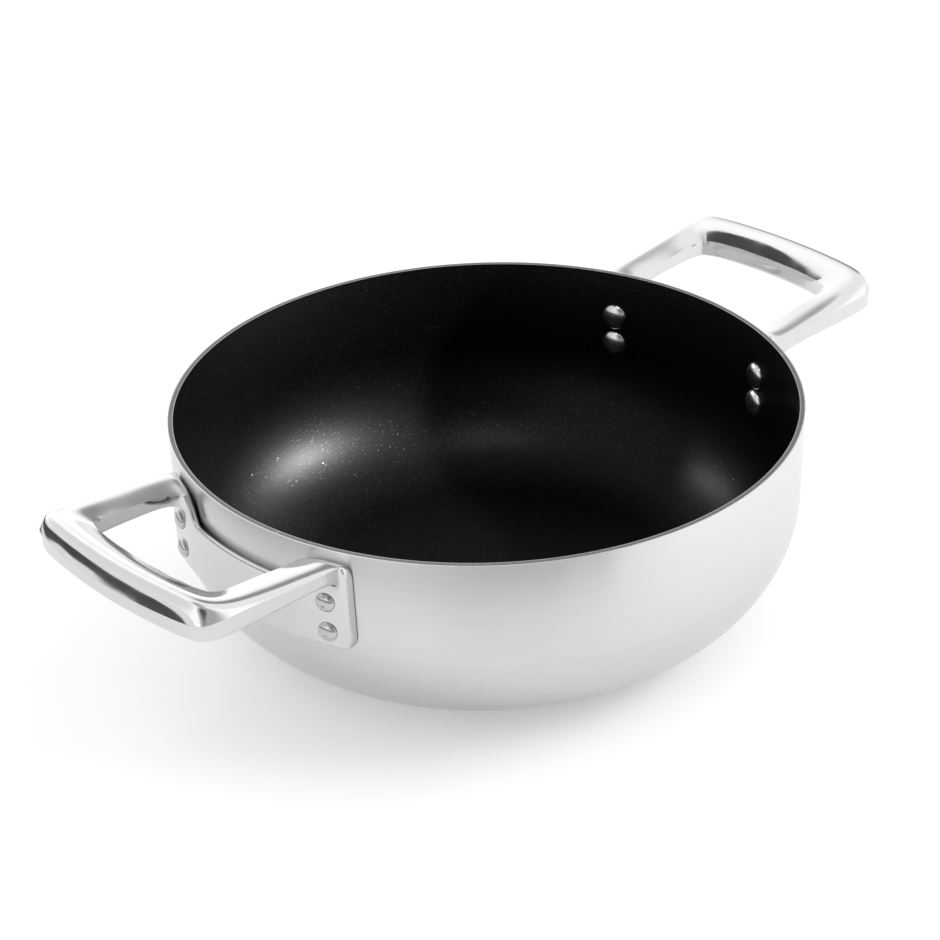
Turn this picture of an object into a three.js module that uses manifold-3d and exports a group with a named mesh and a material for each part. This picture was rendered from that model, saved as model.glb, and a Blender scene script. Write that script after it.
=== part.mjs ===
// A two-handled serving pan: a deep bowl pressed from clad sheet, coated inside,
// with a cast loop handle riveted to each side.
// Millimetres, +Z up. The origin is the centre of the base, and the handles lie along X.

import * as THREE from 'three';
import { mergeVertices } from 'three/addons/utils/BufferGeometryUtils.js';
import Module from 'manifold-3d';

// Bowl
const RIM_RADIUS = 130; // outside of the rim
const PAN_HEIGHT = 91; // base to rim
const CORNER_RADIUS = 54; // outside, where the wall turns into the base
const WALL_DRAFT = THREE.MathUtils.degToRad(1.2); // the wall opens towards the rim

// Layers of the clad sheet, from the outside in
const OUTER_SKIN = 0.5;
const CORE = 1.4;
const INNER_SKIN = 0.4;
const COATING = 0.1;
const BOND_LINE = 0.02; // between one layer and the next

// Rivets, four to a handle
const RIVET_HALF_SPACING = 43; // handle's middle to a column of rivets
const RIVET_DROP = 13.3; // arm's underside to the upper row
const HEAD_SPACING = 1.2; // between the heads of the two rows
const SHANK_RADIUS = 2.5;
const INSIDE_HEAD_RADIUS = 6;
const INSIDE_HEAD_HEIGHT = 2.8;
const OUTSIDE_HEAD_RADIUS = 4.7;
const OUTSIDE_HEAD_HEIGHT = 2.2;
const OUTSIDE_HEAD_FLAT = 1.4; // radius of the flat left by the rivet set
const SHANK_CLEARANCE = 0.3; // shank to hole
const SEAT_GAP = 0.3; // under a head, and between the plate and the wall

// Handle plate, a band that follows the wall
const PLATE_THICKNESS = 3;
const PLATE_SIDE_MARGIN = 4.7; // rivet heads to the plate's end
const PLATE_BOTTOM_MARGIN = 2.3; // lower heads to the plate's bottom edge
const PLATE_TOP_MARGIN = 0.4; // upper heads to the plate's top edge
const PLATE_CORNER = 8; // lower corners
const SHOULDER_CORNER = 5; // upper corners, beside the arms
const SADDLE_FILLET = 8; // from the plate's top edge up to an arm

// Handle loop: two arms that rise outwards, and a bowed bar
const HANDLE_PROJECTION = 63.3; // rim to the outermost point
const ARM_WIDTH = 14.4;
const ARM_OFFSET = 1.5; // arm's middle, outwards of the rivets below it
const ARM_DROP = 2.8; // rim to the arm's top, at the wall
const ARM_ROOT_DEPTH = 5; // top to underside, at the wall
const ARM_RISE = 4; // how far the top climbs on its way to the bar
const ROOT_FILLET = 5; // under an arm, down to the plate
const FILLET_CLEARANCE = 0.5; // least distance from that fillet to a rivet head
const BAR_WIDTH = 16.4;
const BAR_CROWN = 9; // how far the bar's top swells above the end of the arms
const BAR_FACE = 5.5; // upright outer face of the bar
const BAR_BOTTOM_ROUND = 2;
const BAR_BOW_RADIUS = 165; // bar's outer edge, seen from above
const LOOP_OUTER_CORNER = 8;
const LOOP_INNER_CORNER = 3.5;

// Facets
const BOWL_SEGMENTS = 56;
const CORNER_STEPS = 6;
const RIVET_SEGMENTS = 10;
const DOME_STEPS = 3;
const CURVE_STEPS = 5;

// How far a cutting solid reaches past what it cuts
const OVERCUT = 2;

const wasm = await Module();
wasm.setup();

// Solids

function solidFrom(geometry) {
  const bare = geometry.clone();
  bare.deleteAttribute('normal');
  bare.deleteAttribute('uv');
  const merged = mergeVertices(bare);
  const corners = merged.index.array;
  const triVerts = [];
  for (let i = 0; i < corners.length; i += 3) {
    const [a, b, c] = corners.slice(i, i + 3);
    // a lathe leaves triangles without area on its axis
    if (a !== b && b !== c && c !== a) triVerts.push(a, b, c);
  }
  return new wasm.Manifold(new wasm.Mesh({
    numProp: 3,
    vertProperties: merged.attributes.position.array,
    triVerts: Uint32Array.from(triVerts),
  }));
}

function geometryFrom(solid) {
  const mesh = solid.getMesh();
  const geometry = new THREE.BufferGeometry();
  geometry.setAttribute('position', new THREE.BufferAttribute(mesh.vertProperties, 3));
  geometry.setIndex(new THREE.BufferAttribute(mesh.triVerts, 1));
  geometry.computeVertexNormals();
  return geometry;
}

// Turns a closed profile of (radius, height) points about the Z axis.
function lathe(profile, segments) {
  const points = profile.map(([radius, height]) => new THREE.Vector2(radius, height));
  return new THREE.LatheGeometry(points, segments).rotateX(Math.PI / 2);
}

function extrude(shape, depth) {
  return new THREE.ExtrudeGeometry(shape, { depth, bevelEnabled: false, curveSegments: CURVE_STEPS });
}

// The bowl's wall
// A depth is measured inwards from the outer surface, square to it, so every layer keeps
// its thickness round the corner. A negative depth lies outside the bowl.

const cornerTop = CORNER_RADIUS * (1 - Math.sin(WALL_DRAFT)); // where the corner meets the wall
const wallFoot = RIM_RADIUS - (PAN_HEIGHT - cornerTop) * Math.tan(WALL_DRAFT);
const cornerCentre = wallFoot - CORNER_RADIUS * Math.cos(WALL_DRAFT); // also the flat base's radius

function wallRadius(depth, height) {
  return RIM_RADIUS - depth / Math.cos(WALL_DRAFT) - (PAN_HEIGHT - height) * Math.tan(WALL_DRAFT);
}

// The surface at a depth, from the axis along the base and up the wall to a height.
function surfaceProfile(depth, top) {
  const points = [[0, depth]];
  const sweep = Math.PI / 2 - WALL_DRAFT;
  for (let step = 0; step <= CORNER_STEPS; step += 1) {
    const angle = -Math.PI / 2 + (sweep * step) / CORNER_STEPS;
    const radius = CORNER_RADIUS - depth;
    points.push([
      cornerCentre + radius * Math.cos(angle),
      CORNER_RADIUS + radius * Math.sin(angle),
    ]);
  }
  points.push([wallRadius(depth, top), top]);
  return points;
}

// Where the outer surface lies at a height: its radius, and how far its normal dips.
function wallAt(height) {
  if (height >= cornerTop) return { radius: wallRadius(0, height), dip: WALL_DRAFT };
  const dip = Math.asin(1 - height / CORNER_RADIUS);
  return { radius: cornerCentre + CORNER_RADIUS * Math.cos(dip), dip };
}

function layer(outerDepth, thickness) {
  const outside = surfaceProfile(outerDepth, PAN_HEIGHT);
  const inside = surfaceProfile(outerDepth + thickness, PAN_HEIGHT);
  return solidFrom(lathe([...outside, ...inside.reverse()], BOWL_SEGMENTS));
}

const coreDepth = OUTER_SKIN + BOND_LINE;
const innerSkinDepth = coreDepth + CORE + BOND_LINE;
const coatingDepth = innerSkinDepth + INNER_SKIN + BOND_LINE;
const sheetThickness = coatingDepth + COATING;

// Rivets

const armTop = PAN_HEIGHT - ARM_DROP; // at the wall
const armUnderside = armTop - ARM_ROOT_DEPTH;
const upperRow = armUnderside - RIVET_DROP;
const lowerRow = upperRow - 2 * Math.max(INSIDE_HEAD_RADIUS, OUTSIDE_HEAD_RADIUS) - HEAD_SPACING;
const plateFace = SEAT_GAP + PLATE_THICKNESS; // out from the wall
const outsideSeat = plateFace + SEAT_GAP; // also out from the wall
const insideSeat = sheetThickness + SEAT_GAP; // in from the wall

// Sets a piece modelled along +Z at a rivet's place, with +Z out through the wall.
function rivetPlacement(side, height) {
  const { radius, dip } = wallAt(height);
  const turn = Math.asin(RIVET_HALF_SPACING / radius) * side;
  const placement = new THREE.Matrix4().makeRotationZ(turn);
  placement.multiply(new THREE.Matrix4().makeTranslation(radius, 0, height));
  placement.multiply(new THREE.Matrix4().makeRotationY(Math.PI / 2 + dip));
  return placement;
}

// The four rivets of the handle on the +X side, column by column from -Y.
const rivetPlaces = [];
for (const [column, side] of [-1, 1].entries()) {
  for (const [row, height] of [['upper', upperRow], ['lower', lowerRow]]) {
    rivetPlaces.push({ column, row, placement: rivetPlacement(side, height) });
  }
}

// One quarter of a dome's profile, from its rim to where it meets the given inner radius.
function dome(radius, height, innerRadius, base, direction) {
  const points = [];
  const end = Math.acos(innerRadius / radius);
  for (let step = 0; step <= DOME_STEPS; step += 1) {
    const angle = (end * step) / DOME_STEPS;
    const rise = (height * Math.sin(angle)) / Math.sin(end);
    points.push([radius * Math.cos(angle), base + direction * rise]);
  }
  return points;
}

// A round bar from inside one head to inside the other.
function cylinderThroughWall(radius, placement) {
  const length = insideSeat + outsideSeat + INSIDE_HEAD_HEIGHT / 2 + OUTSIDE_HEAD_HEIGHT / 2;
  const middle = (outsideSeat + OUTSIDE_HEAD_HEIGHT / 2) - length / 2;
  const bar = new THREE.CylinderGeometry(radius, radius, length, RIVET_SEGMENTS);
  return solidFrom(bar.rotateX(Math.PI / 2).translate(0, 0, middle).applyMatrix4(placement));
}

// The heads are drawn down onto the wall and the plate, so their undersides follow both.
function rivetGeometry(placement) {
  const inside = dome(INSIDE_HEAD_RADIUS, INSIDE_HEAD_HEIGHT, 0, -insideSeat, -1);
  const outside = dome(OUTSIDE_HEAD_RADIUS, OUTSIDE_HEAD_HEIGHT, OUTSIDE_HEAD_FLAT, outsideSeat, 1);
  const waist = [[INSIDE_HEAD_RADIUS, 0], [OUTSIDE_HEAD_RADIUS, 0]];
  const top = [0, outsideSeat + OUTSIDE_HEAD_HEIGHT];
  const blank = lathe([...inside.reverse(), ...waist, ...outside, top], RIVET_SEGMENTS);
  const gripped = solidFrom(lathe(
    [
      ...surfaceProfile(-outsideSeat, PAN_HEIGHT + OVERCUT),
      ...surfaceProfile(insideSeat, PAN_HEIGHT + OVERCUT).reverse(),
    ],
    BOWL_SEGMENTS,
  ));
  const heads = solidFrom(blank.applyMatrix4(placement)).subtract(gripped);
  return geometryFrom(heads.add(cylinderThroughWall(SHANK_RADIUS, placement)));
}

function withRivetHoles(solid, turn) {
  const around = new THREE.Matrix4().makeRotationZ(turn);
  return rivetPlaces.reduce(
    (body, { placement }) => body.subtract(
      cylinderThroughWall(SHANK_RADIUS + SHANK_CLEARANCE, around.clone().multiply(placement)),
    ),
    solid,
  );
}

// Handle, modelled on the +X side

const barTop = armTop + ARM_RISE;
const reach = RIM_RADIUS + HANDLE_PROJECTION;
const bowCentre = reach - BAR_BOW_RADIUS;
const armOuter = RIVET_HALF_SPACING + ARM_OFFSET + ARM_WIDTH / 2;
const armInner = armOuter - ARM_WIDTH;
const plateEnd = RIVET_HALF_SPACING + OUTSIDE_HEAD_RADIUS + PLATE_SIDE_MARGIN;
const plateBottom = lowerRow - OUTSIDE_HEAD_RADIUS - PLATE_BOTTOM_MARGIN;
const plateTop = upperRow + OUTSIDE_HEAD_RADIUS + PLATE_TOP_MARGIN;

// The plate seen from outside: x runs along the wall, y is height.
function plateOutline() {
  const shape = new THREE.Shape();
  const saddle = Math.min(SADDLE_FILLET, armTop - plateTop);
  shape.moveTo(-plateEnd, plateBottom + PLATE_CORNER);
  shape.absarc(-plateEnd + PLATE_CORNER, plateBottom + PLATE_CORNER, PLATE_CORNER, Math.PI, 1.5 * Math.PI);
  shape.absarc(plateEnd - PLATE_CORNER, plateBottom + PLATE_CORNER, PLATE_CORNER, -Math.PI / 2, 0);
  shape.absarc(plateEnd - SHOULDER_CORNER, armTop - SHOULDER_CORNER, SHOULDER_CORNER, 0, Math.PI / 2);
  shape.lineTo(armInner, armTop);
  shape.absarc(armInner - saddle, plateTop + saddle, saddle, 0, -Math.PI / 2, true);
  shape.absarc(saddle - armInner, plateTop + saddle, saddle, -Math.PI / 2, -Math.PI, true);
  shape.lineTo(-armInner, armTop);
  shape.absarc(SHOULDER_CORNER - plateEnd, armTop - SHOULDER_CORNER, SHOULDER_CORNER, Math.PI / 2, Math.PI);
  shape.closePath();
  return shape;
}

function plateSolid() {
  const face = surfaceProfile(-plateFace, armTop + OVERCUT).slice(1);
  const back = surfaceProfile(OVERCUT, armTop + OVERCUT).slice(1);
  const band = solidFrom(lathe([...face, ...back.reverse(), face[0]], BOWL_SEGMENTS));
  // the extrusion runs along +X, with the shape's x along Y and its y along Z
  const upright = new THREE.Matrix4().makeBasis(
    new THREE.Vector3(0, 1, 0),
    new THREE.Vector3(0, 0, 1),
    new THREE.Vector3(1, 0, 0),
  );
  const window = solidFrom(extrude(plateOutline(), reach).applyMatrix4(upright));
  return band.intersect(window);
}

// One side of the loop, as arcs that run from the end of the +Y arm to the end of the -Y arm.
function loopSide(shape, armLine, bowRadius, corner, forwards) {
  const across = armLine - corner;
  const along = bowCentre + Math.sqrt((bowRadius - corner) ** 2 - across ** 2);
  const turn = Math.atan2(across, along - bowCentre);
  if (forwards) {
    shape.absarc(along, across, corner, Math.PI / 2, turn, true);
    shape.absarc(bowCentre, 0, bowRadius, turn, -turn, true);
    shape.absarc(along, -across, corner, -turn, -Math.PI / 2, true);
  } else {
    shape.absarc(along, -across, corner, -Math.PI / 2, -turn);
    shape.absarc(bowCentre, 0, bowRadius, -turn, turn);
    shape.absarc(along, across, corner, turn, Math.PI / 2);
  }
}

// The loop seen from above: a U whose arms run in to the wall.
function loopOutline() {
  const root = wallRadius(OVERCUT, plateBottom) * Math.cos(Math.asin(plateEnd / RIM_RADIUS));
  const shape = new THREE.Shape();
  shape.moveTo(root, armOuter);
  loopSide(shape, armOuter, BAR_BOW_RADIUS, LOOP_OUTER_CORNER, true);
  shape.lineTo(root, -armOuter);
  shape.lineTo(root, -armInner);
  loopSide(shape, armInner, BAR_BOW_RADIUS - BAR_WIDTH, LOOP_INNER_CORNER, false);
  shape.lineTo(root, armInner);
  shape.closePath();
  return shape;
}

// The loop's heights, by the distance from the centre of the bar's bow.
function loopElevation() {
  const plateRadius = wallRadius(-plateFace, armUnderside);
  const plateAlong = Math.sqrt(plateRadius ** 2 - RIVET_HALF_SPACING ** 2);
  const face = Math.hypot(plateAlong - bowCentre, RIVET_HALF_SPACING);
  const fillet = Math.min(ROOT_FILLET, RIVET_DROP - OUTSIDE_HEAD_RADIUS - FILLET_CLEARANCE);
  const outer = BAR_BOW_RADIUS;
  const inner = outer - BAR_WIDTH;
  const crown = barTop + BAR_CROWN;
  const path = new THREE.Path();
  path.moveTo(0, armUnderside - fillet);
  path.lineTo(face, armUnderside - fillet);
  path.quadraticCurveTo(face, armUnderside, face + fillet, armUnderside);
  path.lineTo(outer - BAR_BOTTOM_ROUND, armUnderside);
  path.quadraticCurveTo(outer, armUnderside, outer, armUnderside + BAR_BOTTOM_ROUND);
  path.lineTo(outer, armUnderside + BAR_BOTTOM_ROUND + BAR_FACE);
  path.bezierCurveTo(outer, crown, inner + BAR_WIDTH / 2, crown, inner, barTop);
  path.lineTo(face, armTop);
  path.lineTo(0, armTop);
  return path.getPoints(CURVE_STEPS).map(({ x, y }) => [x, y]);
}

// The heights are turned about the bow's centre, so the bar's rounding follows its bow.
function loopSolid() {
  const fromAbove = solidFrom(extrude(loopOutline(), barTop + BAR_CROWN + OVERCUT));
  const heights = solidFrom(lathe(loopElevation(), BOWL_SEGMENTS).translate(bowCentre, 0, 0));
  return fromAbove.intersect(heights);
}

function handleGeometry() {
  const keepOut = solidFrom(lathe(
    [...surfaceProfile(-SEAT_GAP, PAN_HEIGHT + OVERCUT), [0, PAN_HEIGHT + OVERCUT]],
    BOWL_SEGMENTS,
  ));
  const casting = plateSolid().add(loopSolid()).subtract(keepOut);
  return geometryFrom(withRivetHoles(casting, 0));
}

// Materials

const satinSteel = new THREE.MeshStandardMaterial({ color: 0xc9cacb, metalness: 1, roughness: 0.32 });
const aluminium = new THREE.MeshStandardMaterial({ color: 0xb4b6b8, metalness: 1, roughness: 0.45 });
const linerSteel = new THREE.MeshStandardMaterial({ color: 0xc2c3c4, metalness: 1, roughness: 0.4 });
const nonstick = new THREE.MeshStandardMaterial({ color: 0x141414, metalness: 0.1, roughness: 0.5 });
const polishedSteel = new THREE.MeshStandardMaterial({ color: 0xd8d9da, metalness: 1, roughness: 0.08 });
const rivetSteel = new THREE.MeshStandardMaterial({ color: 0xcfd0d1, metalness: 1, roughness: 0.2 });

function part(name, geometry, material) {
  const mesh = new THREE.Mesh(geometry, material);
  mesh.name = name;
  return mesh;
}

// Assembly

const pan = new THREE.Group();

// The left handle is the right one given half a turn, so its first column is the rear one.
const sides = [
  { name: 'right', turn: 0, columns: ['front', 'rear'] },
  { name: 'left', turn: Math.PI, columns: ['rear', 'front'] },
];

const layers = [
  ['outer_steel_skin', 0, OUTER_SKIN, satinSteel],
  ['aluminium_core', coreDepth, CORE, aluminium],
  ['inner_steel_skin', innerSkinDepth, INNER_SKIN, linerSteel],
  ['nonstick_coating', coatingDepth, COATING, nonstick],
];
for (const [name, depth, thickness, material] of layers) {
  const shell = sides.reduce((body, { turn }) => withRivetHoles(body, turn), layer(depth, thickness));
  pan.add(part(name, geometryFrom(shell), material));
}

const handle = handleGeometry();
const rivets = rivetPlaces.map(({ column, row, placement }) => (
  { column, row, geometry: rivetGeometry(placement) }
));
for (const { name, turn, columns } of sides) {
  const group = new THREE.Group();
  group.rotation.z = turn;
  group.add(part(`handle_${name}`, handle, polishedSteel));
  for (const { column, row, geometry } of rivets) {
    group.add(part(`rivet_${name}_${columns[column]}_${row}`, geometry, rivetSteel));
  }
  pan.add(group);
}

export default pan;
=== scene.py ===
# %% [markdown]
# # A two-handled serving pan
# This lesson dresses a finished construction model. The construction holds every piece at its
# real size, as plain faceted solids. Here each piece is modelled again, finely, in the same
# place: a bowl pressed from clad sheet, two cast handles and eight rivets. Then every surface
# gets its finish, and a small studio lights the pan for the camera.

# %% Load the construction as a fixed frame
import math

import bmesh
import bpy
from mathutils import Matrix, Vector


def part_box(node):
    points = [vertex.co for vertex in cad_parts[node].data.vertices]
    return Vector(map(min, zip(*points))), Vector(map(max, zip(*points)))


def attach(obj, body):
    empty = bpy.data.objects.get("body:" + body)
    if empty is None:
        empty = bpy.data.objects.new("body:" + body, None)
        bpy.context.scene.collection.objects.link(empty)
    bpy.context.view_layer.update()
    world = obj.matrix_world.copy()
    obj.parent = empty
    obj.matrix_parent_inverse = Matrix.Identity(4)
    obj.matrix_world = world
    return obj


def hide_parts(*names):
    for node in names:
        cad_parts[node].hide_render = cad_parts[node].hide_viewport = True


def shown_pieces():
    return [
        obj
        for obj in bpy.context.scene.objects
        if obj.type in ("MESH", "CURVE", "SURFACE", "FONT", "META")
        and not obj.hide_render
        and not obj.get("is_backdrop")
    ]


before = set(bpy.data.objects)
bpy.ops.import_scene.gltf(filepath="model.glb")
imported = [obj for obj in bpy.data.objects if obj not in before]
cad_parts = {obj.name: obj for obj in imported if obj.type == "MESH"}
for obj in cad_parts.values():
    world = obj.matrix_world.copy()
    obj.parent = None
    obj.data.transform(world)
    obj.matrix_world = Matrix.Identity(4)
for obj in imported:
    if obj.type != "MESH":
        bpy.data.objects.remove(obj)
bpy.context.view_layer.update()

# %% [markdown]
# ## Sizes
# The large sizes are measured on the construction, so that the fine pieces land on it. The
# sheet's layers and the draft of the wall are too small to measure there, so they are named
# here. Blender works in metres, and a kitchen in millimetres, so small sizes are written as
# so many times MM.

# %% Sizes of the bowl
MM = 0.001
RIM_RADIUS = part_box("outer_steel_skin")[1].x
PAN_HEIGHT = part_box("outer_steel_skin")[1].z
CORNER_RADIUS = 54 * MM
WALL_DRAFT = math.radians(1.2)
OUTER_SKIN = 0.5 * MM
CORE = 1.4 * MM
LINER = 0.4 * MM
COATING = 0.1 * MM
BOND_LINE = 0.02 * MM
SHEET = OUTER_SKIN + CORE + LINER + COATING + 3 * BOND_LINE


def wall_radius(depth, height):
    """Radius of the straight wall at a depth inside its outer face."""
    return RIM_RADIUS - depth / math.cos(WALL_DRAFT) - (PAN_HEIGHT - height) * math.tan(WALL_DRAFT)


print(f"rim {RIM_RADIUS / MM:.1f} mm, height {PAN_HEIGHT / MM:.1f} mm, sheet {SHEET / MM:.2f} mm")

# %% [markdown]
# ## Working without a mouse
# Every modelling operator acts on what is selected. By hand one clicks on it. In a script one
# picks it by its place, so these helpers select the vertices, edges or faces whose middle
# passes a test.

# %% Helpers for picking and finishing
def clear_selection():
    if bpy.context.object and bpy.context.object.mode != "OBJECT":
        bpy.ops.object.mode_set(mode="OBJECT")
    bpy.ops.object.select_all(action="DESELECT")


def edit(piece):
    clear_selection()
    piece.select_set(True)
    bpy.context.view_layer.objects.active = piece
    bpy.ops.object.mode_set(mode="EDIT")


def middle(part):
    if isinstance(part, bmesh.types.BMVert):
        return part.co
    return sum((v.co for v in part.verts), Vector()) / len(part.verts)


def pick(piece, kind, test):
    """Selects the parts of one kind, VERT, EDGE or FACE, whose middle passes the test."""
    bpy.ops.mesh.select_mode(type=kind)
    bpy.ops.mesh.select_all(action="DESELECT")
    mesh = bmesh.from_edit_mesh(piece.data)
    parts = {"VERT": mesh.verts, "EDGE": mesh.edges, "FACE": mesh.faces}[kind]
    chosen = [part for part in parts if test(middle(part))]
    for part in chosen:
        part.select_set(True)
    mesh.select_flush_mode()
    bmesh.update_edit_mesh(piece.data)
    return len(chosen)


def apply_modifier(piece, kind, **settings):
    clear_selection()
    piece.select_set(True)
    bpy.context.view_layer.objects.active = piece
    modifier = piece.modifiers.new(kind.lower(), kind)
    for key, value in settings.items():
        setattr(modifier, key, value)
    bpy.ops.object.modifier_apply(modifier=modifier.name)


def smooth(piece, angle):
    clear_selection()
    piece.select_set(True)
    bpy.context.view_layer.objects.active = piece
    bpy.ops.object.shade_smooth_by_angle(angle=math.radians(angle))


def settle(piece, node):
    """The piece moves with the pan and stands for a node of the construction."""
    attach(piece, "root")
    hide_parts(node)
    print(f"{piece.name}: {len(piece.data.vertices)} vertices for {node}")


# %% [markdown]
# ## The bowl
# The real bowl is a disc of clad sheet drawn over a punch: a steel skin outside, an aluminium
# core, a thin steel liner and a coating. It could be spun from a profile. Here each layer
# starts as a cone with a flat bottom, whose bottom edge gets one large bevel, as the punch
# gives it. Solidify then makes the wall, so a layer has the same thickness all the way round.

# %% Press one layer of the sheet
BOWL_SIDES = 224
CORNER_STEPS = 26
RIM_EDGE = 0.09 * MM
NEAR = 0.001 * MM


def press_layer(name, depth, thickness):
    clear_selection()
    bpy.ops.mesh.primitive_cone_add(
        vertices=BOWL_SIDES,
        radius1=wall_radius(depth, depth),
        radius2=wall_radius(depth, PAN_HEIGHT),
        depth=PAN_HEIGHT - depth,
        end_fill_type="NGON",
        location=(0, 0, (PAN_HEIGHT + depth) / 2),
    )
    layer = bpy.context.object
    layer.name = name
    bpy.ops.object.transform_apply(location=True, rotation=True, scale=True)
    edit(layer)
    pick(layer, "FACE", lambda at: at.z > PAN_HEIGHT - NEAR)
    bpy.ops.mesh.delete(type="ONLY_FACE")
    pick(layer, "EDGE", lambda at: at.z < depth + NEAR)
    opening = math.radians(90) + WALL_DRAFT
    tangent = (CORNER_RADIUS - depth) / math.tan(opening / 2)
    bpy.ops.mesh.bevel(offset=tangent, segments=CORNER_STEPS, profile=0.5, affect="EDGES")
    apply_modifier(
        layer, "SOLIDIFY", thickness=thickness, offset=-1, use_even_offset=True, use_rim=True
    )
    edit(layer)
    pick(layer, "VERT", lambda at: at.z > PAN_HEIGHT - NEAR)
    bpy.ops.transform.resize(value=(1, 1, 0), center_override=(0, 0, PAN_HEIGHT))
    clear_selection()
    return layer


def ease_rim(layer, edge):
    """Takes the sharpness off the cut edge."""
    edit(layer)
    bpy.ops.mesh.select_mode(type="EDGE")
    bpy.ops.mesh.select_all(action="DESELECT")
    mesh = bmesh.from_edit_mesh(layer.data)
    for rim in mesh.edges:
        heights = [v.co.z for v in rim.verts]
        radii = [math.hypot(v.co.x, v.co.y) for v in rim.verts]
        on_top = min(heights) > PAN_HEIGHT - NEAR
        rim.select_set(on_top and abs(radii[0] - radii[1]) < NEAR)
    bmesh.update_edit_mesh(layer.data)
    bpy.ops.mesh.bevel(offset=edge, segments=2, profile=0.5, affect="EDGES")
    clear_selection()


# %% The four layers
core_depth = OUTER_SKIN + BOND_LINE
liner_depth = core_depth + CORE + BOND_LINE
coating_depth = liner_depth + LINER + BOND_LINE

skin = press_layer("bowl_skin", 0, OUTER_SKIN)
core = press_layer("bowl_core", core_depth, CORE)
liner = press_layer("bowl_liner", liner_depth, LINER)
coating = press_layer("bowl_coating", coating_depth, COATING)
for layer, edge in ((skin, 0.16 * MM), (core, RIM_EDGE), (liner, RIM_EDGE), (coating, 0.03 * MM)):
    ease_rim(layer, edge)
    smooth(layer, 35)
settle(skin, "outer_steel_skin")
settle(core, "aluminium_core")
settle(liner, "inner_steel_skin")
settle(coating, "nonstick_coating")

# %% [markdown]
# ## The handles
# Each handle is one steel casting: a plate that hugs the wall, two arms that rise away from it
# and a bowed bar. It could be cut from solids, but a casting has no hard corners where its arms
# leave the plate. So it is modelled as a coarse cage that Subdivision Surface rounds. Half a
# handle is enough, because a mirror makes the other half.

# %% Sizes of the handle
handle_low, handle_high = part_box("handle_right")
PLATE_BOTTOM = handle_low.z
PLATE_END = handle_high.y
SEAT_GAP = 0.3 * MM
PLATE_THICKNESS = 3.7 * MM
PLATE_FACE = SEAT_GAP + PLATE_THICKNESS
TOP_GROOVE = 1.6 * MM
GROOVE_END = 48 * MM
ARM_TOP = PAN_HEIGHT - 2.6 * MM
LEDGE = 75 * MM
ARM_OUTER = 51 * MM


def on_wall(across, height, out):
    """A point that far out from the wall, on the +X side."""
    return Vector((math.sqrt((wall_radius(0, height) + out) ** 2 - across ** 2), across, height))


# Columns of the plate's cage, from the middle to the end: place, bottom and top. The rows
# between bottom and top are shares of that height. The arm grows out of the root's faces.
plate_columns = [
    (0, PLATE_BOTTOM, LEDGE),
    (10 * MM, PLATE_BOTTOM, LEDGE),
    (20 * MM, PLATE_BOTTOM, LEDGE),
    (26.5 * MM, PLATE_BOTTOM, LEDGE),
    (30.4 * MM, PLATE_BOTTOM, LEDGE + 1.5 * MM),
    (33.8 * MM, PLATE_BOTTOM, ARM_TOP - 2.4 * MM),
    (39.4 * MM, PLATE_BOTTOM, ARM_TOP),
    (45.6 * MM, PLATE_BOTTOM, ARM_TOP),
    (50.8 * MM, PLATE_BOTTOM, ARM_TOP - 1.2 * MM),
    (52.2 * MM, PLATE_BOTTOM + 1.4 * MM, ARM_TOP - 2.8 * MM),
    (PLATE_END, PLATE_BOTTOM + 5 * MM, ARM_TOP - 7.6 * MM),
]
row_shares = [0, 0.05, 0.24, 0.48, 0.74, 0.88, 1]
ROOT_COLUMNS = range(5, 9)
ROOT_ROWS = range(4, 7)

# %% [markdown]
# The plate starts as a flat grid whose vertices are slid onto the wall. Each vertex carries
# the number of its column and row with it, and an extrusion copies those numbers, so the arm
# that grows out of the plate still knows which line is its crown and which its underside.

# %% The plate of half a handle
clear_selection()
bpy.ops.mesh.primitive_grid_add(
    x_subdivisions=len(plate_columns) - 1, y_subdivisions=len(row_shares) - 1, size=1
)
casting = bpy.context.object
casting.name = "casting_right"
edit(casting)
cage = bmesh.from_edit_mesh(casting.data)
column_of = cage.verts.layers.int.new("column")
row_of = cage.verts.layers.int.new("row")
for v in cage.verts:
    v[column_of] = round((v.co.x + 0.5) * (len(plate_columns) - 1))
    v[row_of] = round((v.co.y + 0.5) * (len(row_shares) - 1))
    across, bottom, top = plate_columns[v[column_of]]
    v.co = on_wall(across, bottom + row_shares[v[row_of]] * (top - bottom), PLATE_FACE)
bmesh.update_edit_mesh(casting.data)

bpy.ops.mesh.select_all(action="SELECT")
bpy.ops.mesh.extrude_region_move()
cage = bmesh.from_edit_mesh(casting.data)
row_of = cage.verts.layers.int["row"]
for v in cage.verts:
    if v.select:
        on_top = v[row_of] == len(row_shares) - 1 and v.co.y < GROOVE_END
        v.co = on_wall(v.co.y, v.co.z, SEAT_GAP + (TOP_GROOVE if on_top else 0))
bmesh.update_edit_mesh(casting.data)
pick(casting, "FACE", lambda at: abs(at.y) < NEAR)
bpy.ops.mesh.delete(type="FACE")
bpy.ops.mesh.select_all(action="SELECT")
bpy.ops.mesh.normals_make_consistent(inside=False)
print("plate cage:", len(bmesh.from_edit_mesh(casting.data).verts), "vertices")

# %% [markdown]
# The loop is the plate's own faces, pulled out. Each station gives the section's inner and
# outer edge seen from above, and the heights of its lines: underside, crease of the upright
# outer face, shoulder, crown and inner top edge. All of them are in millimetres.

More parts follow.
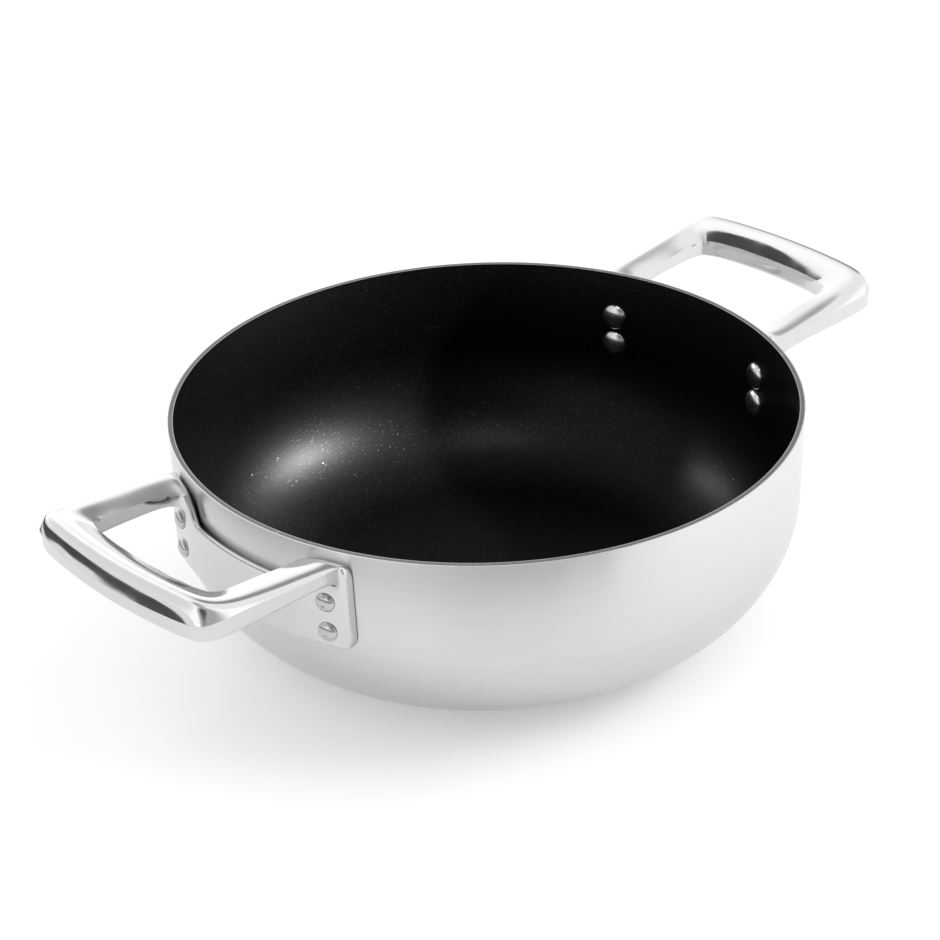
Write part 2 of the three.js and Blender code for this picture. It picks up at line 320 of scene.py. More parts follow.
# %% The arms and the bar
LINES = ("inner", "outer", "under", "crease", "shoulder", "crown", "lip")
station_sizes = [
    ((131.8, 34.8), (126.6, 51.3), 82, 87.6, 88.6, 88.8, 86.8),
    ((138.6, 36.7), (139.5, 51.9), 83, 88.4, 89.8, 90, 88.3),
    ((153, 37), (154, 52.3), 83.1, 89.6, 91.2, 91.5, 90.1),
    ((163, 37.2), (168, 52.3), 83.1, 90.6, 92.8, 93, 90.9),
    ((168.8, 36.9), (178.6, 52.3), 83.1, 90.8, 94.8, 94.8, 91.4),
    ((172.4, 35), (187.4, 50.4), 83.1, 90.4, 98.2, 97.4, 92),
    ((174.3, 29), (190.2, 42), 83.1, 89.8, 98.9, 98.3, 92.3),
    ((175.9, 17), (192.6, 20.4), 83.1, 89.2, 99, 98.5, 92.5),
    ((176.5, 0), (193.5, 0), 83.1, 89, 99, 98.5, 92.5),
]
stations = [dict(zip(LINES, sizes)) for sizes in station_sizes]
TOP_SHARES = (0, 0.56, 0.89, 1)
UNDER_SHARES = (0, 0.3, 0.72, 1)
INNER_UNDER_LIFT = 1.4
LIP_AT_ROOT = 86
LIP_AT_BAR = 92.2
FRONT_HALF = 2 * MM


def section(station, column, row):
    """Where the vertex of a column and row lies at a station."""
    under = station["under"]
    if column == 0:
        under += INNER_UNDER_LIFT * station["lip_share"]
    top = station[("lip", "crown", "shoulder", "crease")[column]]
    height = (under, (top + under) / 2, top)[row]
    share = (UNDER_SHARES if row == 0 else TOP_SHARES)[column]
    place = Vector(station["inner"]).lerp(Vector(station["outer"]), share)
    return Vector((place.x, place.y, height)) * MM


pick(
    casting,
    "FACE",
    lambda at: plate_columns[ROOT_COLUMNS[0]][0] < at.y < plate_columns[ROOT_COLUMNS[-1]][0]
    and at.z > LEDGE + MM
    and math.hypot(at.x, at.y) > wall_radius(0, at.z) + FRONT_HALF,
)
for station in stations:
    station["lip_share"] = max(0, (station["lip"] - LIP_AT_ROOT) / (LIP_AT_BAR - LIP_AT_ROOT))
    bpy.ops.mesh.extrude_region_move()
    cage = bmesh.from_edit_mesh(casting.data)
    column_of = cage.verts.layers.int["column"]
    row_of = cage.verts.layers.int["row"]
    for v in cage.verts:
        if v.select:
            v.co = section(station, v[column_of] - ROOT_COLUMNS[0], v[row_of] - ROOT_ROWS[0])
    bmesh.update_edit_mesh(casting.data)
bpy.ops.mesh.delete(type="FACE")
print("half cage:", len(bmesh.from_edit_mesh(casting.data).verts), "vertices")

# %% [markdown]
# Subdivision would round every edge alike. A crease tells it which lines to keep tighter: the
# edges along the loop, most of all the inner one, and the border of the plate. The other way
# is more loops of vertices beside each edge, which makes a cage hard to change.

# %% Crease the lines that stay crisp
def crease_lines(piece, value, test):
    """Creases the edges whose two vertices pass a test on their columns, rows and places."""
    bpy.ops.mesh.select_mode(type="EDGE")
    bpy.ops.mesh.select_all(action="DESELECT")
    mesh = bmesh.from_edit_mesh(piece.data)
    column = mesh.verts.layers.int["column"]
    row = mesh.verts.layers.int["row"]
    for line in mesh.edges:
        a, b = line.verts
        line.select_set(test((a[column], a[row], a.co), (b[column], b[row], b.co)))
    bmesh.update_edit_mesh(piece.data)
    bpy.ops.transform.edge_crease(value=value)


def off_wall(at):
    return math.hypot(at.x, at.y) - wall_radius(0, at.z)


LAST_COLUMN = len(plate_columns) - 1
LAST_ROW = len(row_shares) - 1
ON_FACE = 0.4 * MM


def along_loop(column, row):
    """A test for the edges that run along the loop on one of its lines."""
    def test(a, b):
        same = a[:2] == b[:2] == (column, row)
        return same and max(a[2].x, b[2].x) > on_wall(ARM_OUTER, ARM_TOP, PLATE_FACE + MM).x
    return test


def plate_border(out):
    """A test for the edges at the plate's bottom and end, on its face or on its back."""
    def on_border(point):
        column, row, at = point
        edge = row == 0 or column == LAST_COLUMN
        return edge and abs(off_wall(at) - out) < ON_FACE
    def test(a, b):
        return on_border(a) and on_border(b)
    return test


def upper_corner(a, b):
    """The front edge from the root of the arm over the plate's upper corner."""
    on_line = all(point[0] >= ROOT_COLUMNS[-1] and point[1] == LAST_ROW for point in (a, b))
    out = sorted(off_wall(point[2]) - PLATE_FACE for point in (a, b))
    return on_line and abs(out[0]) < ON_FACE


OUTER_EDGE = 0.3
INNER_EDGE = 0.42
UNDER_EDGE = 0.36
BORDER_EDGE = 0.25
CORNER_EDGE = 0.3
BACK_EDGE = 0.2

crease_lines(casting, OUTER_EDGE, along_loop(ROOT_COLUMNS[-1], LAST_ROW))
crease_lines(casting, INNER_EDGE, along_loop(ROOT_COLUMNS[0], LAST_ROW))
crease_lines(casting, UNDER_EDGE, along_loop(ROOT_COLUMNS[0], ROOT_ROWS[0]))
crease_lines(casting, UNDER_EDGE, along_loop(ROOT_COLUMNS[-1], ROOT_ROWS[0]))
crease_lines(casting, BORDER_EDGE, plate_border(PLATE_FACE))
crease_lines(casting, CORNER_EDGE, upper_corner)
crease_lines(casting, BACK_EDGE, plate_border(SEAT_GAP))
clear_selection()
print("creased the loop, the plate's border and its upper corner")

# %% [markdown]
# The mirror joins the two halves in the middle, and Subdivision Surface rounds the cage. The
# second handle is the first one turned by half a turn, since the pan looks the same from both
# sides.

# %% Mirror, round and copy
ROUNDING_LEVELS = 3
apply_modifier(
    casting, "MIRROR", use_axis=(False, True, False), use_clip=True, merge_threshold=0.01 * MM
)
apply_modifier(casting, "SUBSURF", levels=ROUNDING_LEVELS, render_levels=ROUNDING_LEVELS)
edit(casting)
bpy.ops.mesh.select_all(action="SELECT")
bpy.ops.mesh.normals_make_consistent(inside=False)
clear_selection()
smooth(casting, 60)


def turned_copy(piece, name):
    """A copy on the other side of the pan, with its half turn in its mesh."""
    other = piece.copy()
    other.data = piece.data.copy()
    other.name = name
    bpy.context.scene.collection.objects.link(other)
    other.data.transform(Matrix.Rotation(math.pi, 4, "Z"))
    return other


casting_left = turned_copy(casting, "casting_left")
settle(casting, "handle_right")
settle(casting_left, "handle_left")
low, high = casting.bound_box[0], casting.bound_box[6]
print("casting box", [round(v / MM, 1) for v in (*low, *high)], "mm")

# %% [markdown]
# ## The rivets
# A rivet is a round thing, so its profile is drawn by extruding one vertex from point to
# point, and a spin turns it. The domed head goes inside the bowl. The rivet set left a small
# dish in the head outside.

# %% One rivet
INSIDE_HEAD = 6 * MM
INSIDE_HEIGHT = 2.8 * MM
OUTSIDE_HEAD = 4.1 * MM
OUTSIDE_HEIGHT = 1.9 * MM
SHANK = 2.5 * MM
DISH = 1.3 * MM
DISH_DEPTH = 0.25 * MM
SINK = 0.25 * MM
DOME_STEPS = 12
SPIN_STEPS = 40
DISH_SHARES = (0.9, 0.7, 0.45, 0.2, 0)


def dome_points(radius, height, base, inner):
    """A quarter of a dome, from its edge up to an inner radius."""
    end = math.acos(inner / radius)
    points = []
    for step in range(DOME_STEPS + 1):
        angle = end * step / DOME_STEPS
        rise = math.sin(angle) / math.sin(end)
        points.append(Vector((radius * math.cos(angle), 0, base + height * rise)))
    return points


def rivet_profile():
    seat_out = PLATE_FACE
    seat_in = SHEET
    inside = [Vector((p.x, 0, -p.z)) for p in dome_points(INSIDE_HEAD, INSIDE_HEIGHT, seat_in, 0)]
    outside = dome_points(OUTSIDE_HEAD, OUTSIDE_HEIGHT, seat_out, DISH)
    brim = outside[-1].z
    dish = [
        Vector((DISH * share, 0, brim - DISH_DEPTH * (1 - share ** 2)))
        for share in DISH_SHARES
    ]
    skirt_in = [Vector((INSIDE_HEAD, 0, -seat_in + SINK)), Vector((SHANK, 0, -seat_in + SINK))]
    skirt_out = [Vector((SHANK, 0, seat_out - SINK)), Vector((OUTSIDE_HEAD, 0, seat_out - SINK))]
    return [*reversed(inside), *skirt_in, *skirt_out, *outside, *dish]


def spin_rivet():
    clear_selection()
    bpy.ops.mesh.primitive_plane_add(size=MM)
    rivet = bpy.context.object
    edit(rivet)
    bpy.ops.mesh.select_mode(type="VERT")
    bpy.ops.mesh.select_all(action="SELECT")
    bpy.ops.mesh.merge(type="CENTER")
    profile = rivet_profile()
    bpy.ops.mesh.select_all(action="SELECT")
    bpy.ops.transform.translate(value=profile[0])
    for start, end in zip(profile, profile[1:]):
        bpy.ops.mesh.extrude_region_move(TRANSFORM_OT_translate={"value": end - start})
    bpy.ops.mesh.select_all(action="SELECT")
    bpy.ops.mesh.spin(steps=SPIN_STEPS, angle=2 * math.pi, center=(0, 0, 0), axis=(0, 0, 1))
    bpy.ops.mesh.select_all(action="SELECT")
    bpy.ops.mesh.remove_doubles(threshold=0.005 * MM)
    bpy.ops.mesh.normals_make_consistent(inside=False)
    clear_selection()
    smooth(rivet, 40)
    return rivet


rivet = spin_rivet()
print("rivet:", len(rivet.data.vertices), "vertices")

# %% Eight copies, each on its own place in the construction
for side, turn in (("right", 0), ("left", math.pi)):
    for column in ("front", "rear"):
        for row in ("upper", "lower"):
            node = f"rivet_{side}_{column}_{row}"
            low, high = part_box(node)
            centre = (low + high) / 2
            angle = math.atan2(centre.y, centre.x)
            radius = wall_radius(0, centre.z)
            placed = rivet.copy()
            placed.data = rivet.data.copy()
            placed.name = f"head_{side}_{column}_{row}"
            bpy.context.scene.collection.objects.link(placed)
            outwards = Matrix.Rotation(math.pi / 2 + WALL_DRAFT, 4, "Y")
            placed.data.transform(
                Matrix.Rotation(angle, 4, "Z")
                @ Matrix.Translation((radius, 0, centre.z))
                @ outwards
            )
            settle(placed, node)
bpy.data.objects.remove(rivet)

# %% [markdown]
# ## Finishes
# Every finish is made of nodes that read the place on the object, so it needs no picture. A
# few small helpers keep the node trees short: one adds a node, one links it, and one bends a
# value from one range into another.

# %% Helpers for node materials
def finish_of(name):
    material = bpy.data.materials.new(name)
    material.use_nodes = True
    tree = material.node_tree
    return material, tree, tree.nodes["Principled BSDF"]


def dress(piece, material):
    piece.data.materials.clear()
    piece.data.materials.append(material)


def add(tree, kind, **settings):
    """Adds a node. A setting is one of its inputs or, failing that, one of its options."""
    node = tree.nodes.new(kind)
    for key, value in settings.items():
        if key in node.inputs:
            node.inputs[key].default_value = value
        else:
            setattr(node, key, value)
    return node


def on_object(tree, stretch):
    """The place on the object, stretched along each axis."""
    place = add(tree, "ShaderNodeTexCoord")
    scaled = add(tree, "ShaderNodeVectorMath", operation="MULTIPLY")
    scaled.inputs[1].default_value = stretch
    tree.links.new(place.outputs["Object"], scaled.inputs[0])
    return scaled.outputs["Vector"]


def round_the_bowl(tree, along, across):
    """Coordinates that run slowly round the bowl and fast up its wall and over its base."""
    level = add(tree, "ShaderNodeVectorMath", operation="LENGTH")
    tree.links.new(on_object(tree, (1, 1, 0)), level.inputs[0])
    split = add(tree, "ShaderNodeSeparateXYZ")
    tree.links.new(on_object(tree, (along, along, 1)), split.inputs[0])
    climb = add(tree, "ShaderNodeMath", operation="ADD")
    tree.links.new(split.outputs["Z"], climb.inputs[0])
    tree.links.new(level.outputs["Value"], climb.inputs[1])
    fast = add(tree, "ShaderNodeMath", operation="MULTIPLY")
    fast.inputs[1].default_value = across
    tree.links.new(climb.outputs["Value"], fast.inputs[0])
    joined = add(tree, "ShaderNodeCombineXYZ")
    tree.links.new(split.outputs["X"], joined.inputs["X"])
    tree.links.new(split.outputs["Y"], joined.inputs["Y"])
    tree.links.new(fast.outputs["Value"], joined.inputs["Z"])
    return joined.outputs["Vector"]


def noise(tree, vector, detail=3.0, rough=0.55):
    cloud = add(tree, "ShaderNodeTexNoise", Scale=1.0, Detail=detail, Roughness=rough)
    tree.links.new(vector, cloud.inputs["Vector"])
    return cloud.outputs["Fac"]


def bend(tree, value, old, new):
    """Carries a value from one range into another, and stops at its ends."""
    ramp = add(tree, "ShaderNodeMapRange")
    for key, limit in zip(("From Min", "From Max", "To Min", "To Max"), (*old, *new)):
        ramp.inputs[key].default_value = limit
    tree.links.new(value, ramp.inputs["Value"])
    return ramp.outputs["Result"]


def between(tree, mask, dark, light):
    """A grey between two greys."""
    mix = add(tree, "ShaderNodeMix", data_type="RGBA")
    mix.inputs["A"].default_value = (*dark, 1)
    mix.inputs["B"].default_value = (*light, 1)
    tree.links.new(mask, mix.inputs["Factor"])
    return mix.outputs["Result"]


def relief(tree, shader, height, strength, depth):
    bump = add(tree, "ShaderNodeBump", Strength=strength, Distance=depth)
    tree.links.new(height, bump.inputs["Height"])
    tree.links.new(bump.outputs["Normal"], shader.inputs["Normal"])


# %% [markdown]
# The outside of the bowl is brushed while it turns, so its fine lines run round the wall. Two
# noises make them: a fine one for the scratches and a broad one for bands that are a little
# brighter or duller. The brushing also spreads a reflection up and down the wall, which the
# anisotropy does, with a tangent that runs round the axis.

# %% Satin steel of the outer skin
FINE_LINES = 1100
BROAD_LINES = 300
DULL_STEEL = (0.635,) * 3
BRIGHT_STEEL = (0.65,) * 3


def satin_steel():
    material, tree, shader = finish_of("satin_steel")
    fine = noise(tree, round_the_bowl(tree, 6, FINE_LINES), detail=1.0)
    broad = noise(tree, round_the_bowl(tree, 1.5, BROAD_LINES), detail=1.0)
    wear = noise(tree, on_object(tree, (22, 22, 22)), detail=5.0)
    lines = add(tree, "ShaderNodeMath", operation="ADD")
    tree.links.new(fine, lines.inputs[0])
    tree.links.new(broad, lines.inputs[1])
    brushed = bend(tree, lines.outputs["Value"], (0.7, 1.3), (0, 1))
    tree.links.new(between(tree, brushed, DULL_STEEL, BRIGHT_STEEL), shader.inputs["Base Color"])
    tree.links.new(bend(tree, wear, (0.3, 0.7), (0.28, 0.33)), shader.inputs["Roughness"])
    relief(tree, shader, fine, 0.012, 0.05 * MM)
    tangent = add(tree, "ShaderNodeTangent", direction_type="RADIAL", axis="Z")
    tree.links.new(tangent.outputs["Tangent"], shader.inputs["Tangent"])
    shader.inputs["Metallic"].default_value = 1
    shader.inputs["Anisotropic"].default_value = 0.7
    shader.inputs["Anisotropic Rotation"].default_value = 0.25
    return material


# %% [markdown]
# The rim is cut square, so it shows the layers of the sheet. A cut edge is duller than the face of
# the sheet, and short scratches cross it. A few spots on it are painted lighter in its colour, as
# painted glints.

# %% Cut edges of the sheet
GRAIN = 900
# Scale of the spots that are painted lighter on the cut edges, as painted glints.
PAINTED_GLINT_SCALE = 120


def cut_edge(name, dark, light, roughness):
    material, tree, shader = finish_of(name)
    grain = noise(tree, on_object(tree, (GRAIN,) * 3), detail=4.0)
    glint_noise = noise(tree, on_object(tree, (PAINTED_GLINT_SCALE,) * 3), detail=2.0)
    # Painted glints: a few spots of the edge's colour are painted lighter, standing in for
    # highlights.
    painted_glint = bend(tree, glint_noise, (0.68, 0.74), (0, 0.8))
    grain_and_painted_glints = add(tree, "ShaderNodeMath", operation="MAXIMUM")
    tree.links.new(bend(tree, grain, (0.3, 0.7), (0, 0.5)), grain_and_painted_glints.inputs[0])
    tree.links.new(painted_glint, grain_and_painted_glints.inputs[1])
    colour = between(tree, grain_and_painted_glints.outputs["Value"], (dark,) * 3, (light,) * 3)
    tree.links.new(colour, shader.inputs["Base Color"])
    dull = bend(tree, grain, (0.3, 0.7), (roughness, roughness + 0.15))
    tree.links.new(dull, shader.inputs["Roughness"])
    relief(tree, shader, grain, 0.25, 0.05 * MM)
    shader.inputs["Metallic"].default_value = 1
    return material


# %% [markdown]
# The coating is sprayed on and baked. It is nearly black, with a faint orange peel and mineral
# flecks in it. A Voronoi texture cuts the surface into cells of half a millimetre, and only
# the cells with a high random number hold a fleck. Two more random numbers lean each fleck its
# own way, so it sparkles where the light happens to meet it.

# %% Non-stick coating
FLECK_CELL = 0.55 * MM
FLECK_SHARE = 0.2
FLECK_LEAN = 0.2
FLECK_COLOUR = (0.03, 0.03, 0.0295, 1)
ORANGE_PEEL = 700


def fleck_mask(tree, size, share):
    cells = add(tree, "ShaderNodeTexVoronoi", Scale=1.0, Randomness=1.0)
    tree.links.new(on_object(tree, (1 / size,) * 3), cells.inputs["Vector"])
    lucky = add(tree, "ShaderNodeSeparateColor")
    tree.links.new(cells.outputs["Color"], lucky.inputs["Color"])
    chosen = bend(tree, lucky.outputs["Red"], (1 - share, 1 - share + 0.02), (0, 1))
    core = bend(tree, cells.outputs["Distance"], (0.25, 0.45), (1, 0))
    mask = add(tree, "ShaderNodeMath", operation="MULTIPLY")
    tree.links.new(chosen, mask.inputs[0])
    tree.links.new(core, mask.inputs[1])
    others = add(tree, "ShaderNodeCombineXYZ", Z=0.5)
    tree.links.new(lucky.outputs["Green"], others.inputs["X"])
    tree.links.new(lucky.outputs["Blue"], others.inputs["Y"])
    return mask.outputs["Value"], others.outputs["Vector"]


def nonstick():
    material, tree, shader = finish_of("nonstick")
    mask, chance = fleck_mask(tree, FLECK_CELL, FLECK_SHARE)
    cloud = noise(tree, on_object(tree, (30, 30, 30)), detail=4.0)
    base = between(tree, cloud, (0.0003,) * 3, (0.0007,) * 3)
    mix = add(tree, "ShaderNodeMix", data_type="RGBA")
    tree.links.new(mask, mix.inputs["Factor"])
    tree.links.new(base, mix.inputs["A"])
    mix.inputs["B"].default_value = FLECK_COLOUR
    tree.links.new(mix.outputs["Result"], shader.inputs["Base Color"])
    tree.links.new(bend(tree, mask, (0, 1), (0.4, 0.3)), shader.inputs["Roughness"])
    tree.links.new(bend(tree, mask, (0, 1), (0, 1)), shader.inputs["Metallic"])
    peel = noise(tree, on_object(tree, (ORANGE_PEEL,) * 3), detail=2.0)
    bump = add(tree, "ShaderNodeBump", Strength=0.12, Distance=0.1 * MM)
    tree.links.new(peel, bump.inputs["Height"])
    lean = add(tree, "ShaderNodeVectorMath", operation="MULTIPLY_ADD")
    lean.inputs[1].default_value = (2 * FLECK_LEAN,) * 3
    lean.inputs[2].default_value = (-FLECK_LEAN,) * 3
    tree.links.new(chance, lean.inputs[0])
    only_flecks = add(tree, "ShaderNodeVectorMath", operation="SCALE")
    tree.links.new(lean.outputs["Vector"], only_flecks.inputs[0])
    tree.links.new(mask, only_flecks.inputs["Scale"])
    tilted = add(tree, "ShaderNodeVectorMath", operation="ADD")
    tree.links.new(bump.outputs["Normal"], tilted.inputs[0])
    tree.links.new(only_flecks.outputs["Vector"], tilted.inputs[1])
    upright = add(tree, "ShaderNodeVectorMath", operation="NORMALIZE")
    tree.links.new(tilted.outputs["Vector"], upright.inputs[0])
    tree.links.new(upright.outputs["Vector"], shader.inputs["Normal"])
    shader.inputs["Specular IOR Level"].default_value = 0.1
    return material


# %% [markdown]
# The castings are polished by hand on a wheel. That leaves the surface very slightly wavy,
# which bends the lines of a reflection, and a little cloudy where the polish wore off.

# %% Polished steel of the castings and the rivets
SMUDGES = 70
HAIRLINES = 2400
HAIR_SHARE = 0.01


def polished(name, light, roughness, wave_size, wave_depth):
    material, tree, shader = finish_of(name)
    smudge = noise(tree, on_object(tree, (SMUDGES,) * 3), detail=6.0, rough=0.65)
    wave = noise(tree, on_object(tree, (1 / wave_size,) * 3), detail=1.0)
    hair = noise(tree, on_object(tree, (HAIRLINES,) * 3), detail=2.0)
    colour = between(tree, smudge, (light - 0.06,) * 3, (light,) * 3)
    tree.links.new(colour, shader.inputs["Base Color"])
    worn = bend(tree, smudge, (0.35, 0.7), (roughness, roughness + 0.07))
    tree.links.new(worn, shader.inputs["Roughness"])
    height = add(tree, "ShaderNodeMath", operation="MULTIPLY_ADD")
    height.inputs[1].default_value = HAIR_SHARE
    tree.links.new(hair, height.inputs[0])
    tree.links.new(wave, height.inputs[2])
    relief(tree, shader, height.outputs["Value"], 0.6, wave_depth)
    shader.inputs["Metallic"].default_value = 1
    return material


# %% Put each finish on its pieces
dress(skin, satin_steel())
dress(core, cut_edge("aluminium", 0.14, 0.32, 0.45))
dress(liner, cut_edge("liner_steel", 0.36, 0.56, 0.35))
dress(coating, nonstick())
casting_finish = polished("polished_steel", 0.64, 0.06, 22 * MM, 0.24 * MM)
rivet_finish = polished("rivet_steel", 0.54, 0.2, 3 * MM, 0.04 * MM)
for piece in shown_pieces():
    if piece.name.startswith("casting"):
        dress(piece, casting_finish)
    if piece.name.startswith("head"):
        dress(piece, rivet_finish)
print("finishes:", sorted(material.name for material in bpy.data.materials))

# %% [markdown]
# ## The floor
# The pan stands on a sheet of white paper. It could be a studio sweep, but a large flat plane
# is enough, because its far edge is as white as the world behind it. The paper glows a little
# for the camera and for what steel reflects, so that it looks white there and keeps its shadow.

# %% Floor
def seen_directly(tree):
    """One for rays of the camera, and for those that a mirror or glass sends on."""
    path = add(tree, "ShaderNodeLightPath")
    total = path.outputs["Is Camera Ray"]
    for ray in ("Is Glossy Ray", "Is Transmission Ray"):
        either = add(tree, "ShaderNodeMath", operation="MAXIMUM")
        tree.links.new(total, either.inputs[0])
        tree.links.new(path.outputs[ray], either.inputs[1])
        total = either.outputs["Value"]
    return total


FLOOR_SIZE = 12
FLOOR_DROP = 0.05 * MM
FLOOR_GLOW = 0.26
clear_selection()
bpy.ops.mesh.primitive_plane_add(size=FLOOR_SIZE, location=(0, 0, -FLOOR_DROP))
floor = bpy.context.object
floor.name = "floor"
floor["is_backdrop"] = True
paper, tree, shader = finish_of("white_paper")
shader.inputs["Base Color"].default_value = (0.8, 0.8, 0.8, 1)
shader.inputs["Roughness"].default_value = 1
shader.inputs["Specular IOR Level"].default_value = 0
shader.inputs["Emission Color"].default_value = (1, 1, 1, 1)
glow = bend(tree, seen_directly(tree), (0, 1), (0, FLOOR_GLOW))
tree.links.new(glow, shader.inputs["Emission Strength"])
dress(floor, paper)
print(f"floor: {FLOOR_SIZE} m of white paper")

# %% [markdown]
# ## The camera
# A long lens looks down into the bowl from between the two handles. Place, aim, roll and
# focal length were fitted to the ellipse of the rim, the rivets and the outline.

# %% Camera
CAMERA_PLACE = Vector((-0.6364, -0.6826, 0.5916))
CAMERA_TARGET = Vector((-0.00543, 0.00506, 0.05727))
CAMERA_ROLL = math.radians(-2.042)
LENS = 99.13
SENSOR = 36

forward = (CAMERA_TARGET - CAMERA_PLACE).normalized()
right = forward.cross(Vector((0, 0, 1))).normalized()
up = right.cross(forward)
rolled_right = math.cos(CAMERA_ROLL) * right + math.sin(CAMERA_ROLL) * up
rolled_up = math.cos(CAMERA_ROLL) * up - math.sin(CAMERA_ROLL) * right
camera_data = bpy.data.cameras.new("camera")
camera_data.sensor_width = SENSOR
camera_data.sensor_fit = "HORIZONTAL"
camera_data.lens = LENS
camera = bpy.data.objects.new("camera", camera_data)
bpy.context.scene.collection.objects.link(camera)
turn = Matrix((rolled_right, rolled_up, -forward)).transposed().to_4x4()
camera.matrix_world = Matrix.Translation(CAMERA_PLACE) @ turn
bpy.context.scene.camera = camera
print(f"camera at {CAMERA_PLACE.length:.2f} m")

# %% [markdown]
# ## The studio
# Polished steel looks like what stands round it, so the studio is painted into the world:
# bright tents on all sides, and duller patches overhead, on the left, behind the pan and
# behind the camera, which grade the steel. Each patch is a direction with a soft edge.

# %% Directions in the studio
TOWARDS_CAMERA = Vector((-0.6817, -0.7316, 0))
ACROSS = Vector((0.7316, -0.6817, 0))


def studio_direction(turn, rise):
    """A direction by its turn from the camera to its right, and its rise, in degrees."""
    turn, rise = math.radians(turn), math.radians(rise)
    level = math.cos(turn) * TOWARDS_CAMERA + math.sin(turn) * ACROSS
    return math.cos(rise) * level + math.sin(rise) * Vector((0, 0, 1))


# %% World
TENT = 1.6

world = bpy.data.worlds.new("studio")
bpy.context.scene.world = world
world.use_nodes = True
tree = world.node_tree
background = tree.nodes["Background"]
gaze = add(tree, "ShaderNodeTexCoord").outputs["Generated"]


def patch(turn, rise, inside, outside):
    """One where a ray looks into a round patch of the studio, with a soft edge."""
    aim = add(tree, "ShaderNodeVectorMath", operation="DOT_PRODUCT")
    aim.inputs[1].default_value = studio_direction(turn, rise)
    tree.links.new(gaze, aim.inputs[0])
    ramp = add(tree, "ShaderNodeMapRange", interpolation_type="SMOOTHSTEP")
    ramp.inputs["From Min"].default_value = math.cos(math.radians(outside))
    ramp.inputs["From Max"].default_value = math.cos(math.radians(inside))
    tree.links.new(aim.outputs["Value"], ramp.inputs["Value"])
    return ramp.outputs["Result"]


def painted(colour, mask, value):
    mix = add(tree, "ShaderNodeMix", data_type="RGBA")
    tree.links.new(mask, mix.inputs["Factor"])
    tree.links.new(colour, mix.inputs["A"])
    mix.inputs["B"].default_value = (value, value, value, 1)
    return mix.outputs["Result"]


tent = add(tree, "ShaderNodeRGB")
tent.outputs["Color"].default_value = (TENT, TENT, TENT, 1)
# Turn, rise, the angle to which a patch is full and that at which it ends, and its brightness.
dull_patches = [
    (0, 88, 12, 30, 0.6),
    (-92, 28, 18, 46, 1.1),
    (140, 38, 32, 48, 1.3),
    (166, 32, 5, 17, 0.42),
    (20, 28, 32, 52, 0.6),
    (8, 38, 10, 24, 0.15),
]
colour = tent.outputs["Color"]
for *where, brightness in dull_patches:
    colour = painted(colour, patch(*where), brightness)
tree.links.new(colour, background.inputs["Color"])
print(f"world: bright tents and {len(dull_patches)} duller patches")

# %% [markdown]
# A wide lamp on the right gives the shadow its side. It is left out of reflections, where the
# tents do better. Three narrow lamps shine over the rim into the bowl and draw soft highlights
# on the black coating: a strong one on the left, a faint one on the right, and one from
# overhead that shows where the floor of the bowl turns up. A real snoot would keep their light
# off the paper and the wall. Here light linking does, which names what a lamp may light.

# %% Lamps
def add_lamp(name, kind, place, aim, energy):
    data = bpy.data.lights.new(name, kind)
    data.energy = energy
    light = bpy.data.objects.new(name, data)
    bpy.context.scene.collection.objects.link(light)
    light.location = place
    light.rotation_euler = (place - aim).to_track_quat("Z", "Y").to_euler()
    light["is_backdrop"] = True
    return light


KEY_DISTANCE = 1.8
KEY_POWER = 11
key = add_lamp("key", "AREA", KEY_DISTANCE * studio_direction(93, 34), Vector(), KEY_POWER)
key.data.shape = "RECTANGLE"
key.data.size = 0.9
key.data.size_y = 0.6
key.visible_glossy = False

SNOOT_DISTANCE = 1.5
SNOOT_ANGLE = math.radians(13)
SNOOT_RADIUS = 0.05
inside = bpy.data.collections.new("inside_of_the_bowl")
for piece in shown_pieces():
    if piece == coating or piece.name.startswith("head"):
        inside.objects.link(piece)


def add_snoot(name, turn, rise, target, energy):
    """A narrow lamp in a direction, aimed at a place in millimetres."""
    target = Vector(target) * MM
    place = target + SNOOT_DISTANCE * studio_direction(turn, rise)
    snoot = add_lamp(name, "SPOT", place, target, energy)
    snoot.data.spot_size = SNOOT_ANGLE
    snoot.data.spot_blend = 1
    snoot.data.shadow_soft_size = SNOOT_RADIUS
    snoot.light_linking.receiver_collection = inside


add_snoot("snoot_left", 90, 35, (-5, 114, 20.5), 390)
add_snoot("snoot_right", -118, 30, (107, -28, 17), 30)
add_snoot("snoot_over", 0, 76, (50, 55, 10), 18)

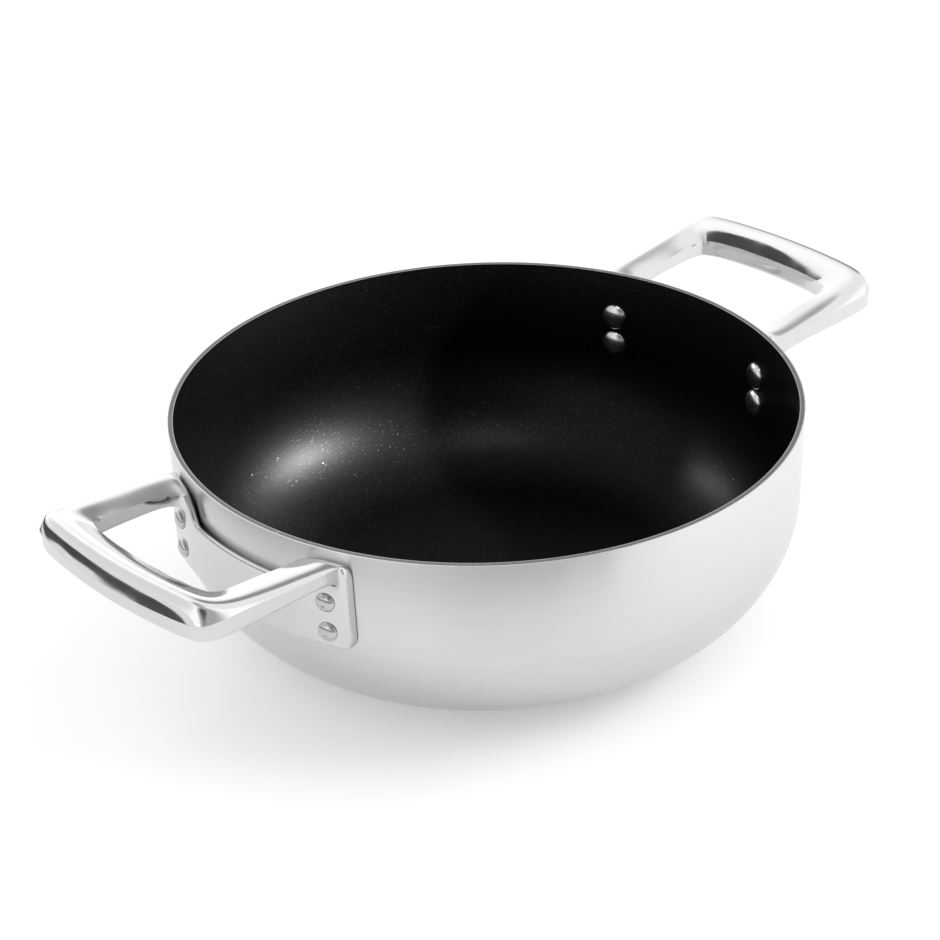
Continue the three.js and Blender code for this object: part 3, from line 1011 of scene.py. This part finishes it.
# %% [markdown]
# Polished steel in an all-white studio looks like chalk. A photographer stands dark cards near
# it, which draw dark lines along its edges. Here a low strip and a lower kerb stand round the
# near handle, and a small card hangs behind the far one. Only reflections see them.

# %% Dark cards
felt, _, felt_shader = finish_of("dark_felt")
felt_shader.inputs["Base Color"].default_value = (0.08, 0.08, 0.08, 1)
felt_shader.inputs["Roughness"].default_value = 1
felt_shader.inputs["Specular IOR Level"].default_value = 0


STRIP_SIDES = 96


def hide_but_reflect(card):
    """Leaves the card in reflections and takes it out of all else."""
    card.visible_camera = False
    card.visible_diffuse = False
    card.visible_shadow = False
    card.visible_transmission = False
    card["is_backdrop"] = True
    dress(card, felt)


def flag(name, place, aim, width, height):
    """A dark card that faces a place."""
    clear_selection()
    bpy.ops.mesh.primitive_plane_add(size=1)
    card = bpy.context.object
    card.name = name
    towards = (Vector(aim) - Vector(place)).normalized()
    turn = towards.to_track_quat("Z", "Y").to_matrix().to_4x4()
    size = Matrix.Diagonal((width, height, 1, 1))
    card.data.transform(Matrix.Translation(place) @ turn @ size)
    hide_but_reflect(card)


def skirting(name, radius, height, first, last):
    """A low dark strip round one side of the pan, between two turns."""
    clear_selection()
    bpy.ops.mesh.primitive_cylinder_add(
        vertices=STRIP_SIDES,
        radius=radius,
        depth=height,
        end_fill_type="NOTHING",
        location=(0, 0, height / 2),
    )
    strip = bpy.context.object
    strip.name = name
    bpy.ops.object.transform_apply(location=True, rotation=True, scale=True)
    edit(strip)

    def outside(at):
        turn = math.degrees(math.atan2(at.dot(ACROSS), at.dot(TOWARDS_CAMERA)))
        return not first < turn < last

    pick(strip, "FACE", outside)
    bpy.ops.mesh.delete(type="FACE")
    clear_selection()
    hide_but_reflect(strip)


CARD_DISTANCE = 0.16
far_grip = Vector((0.186, 0, 0.092))
flag("card_far", far_grip + CARD_DISTANCE * studio_direction(-100, 46), far_grip, 0.11, 0.075)
skirting("skirting", 0.45, 0.05, -125, 35)
skirting("kerb", 0.375, 0.012, -115, 20)
bpy.context.scene.view_settings.view_transform = "Standard"
print("dark cards: one card and two strips")
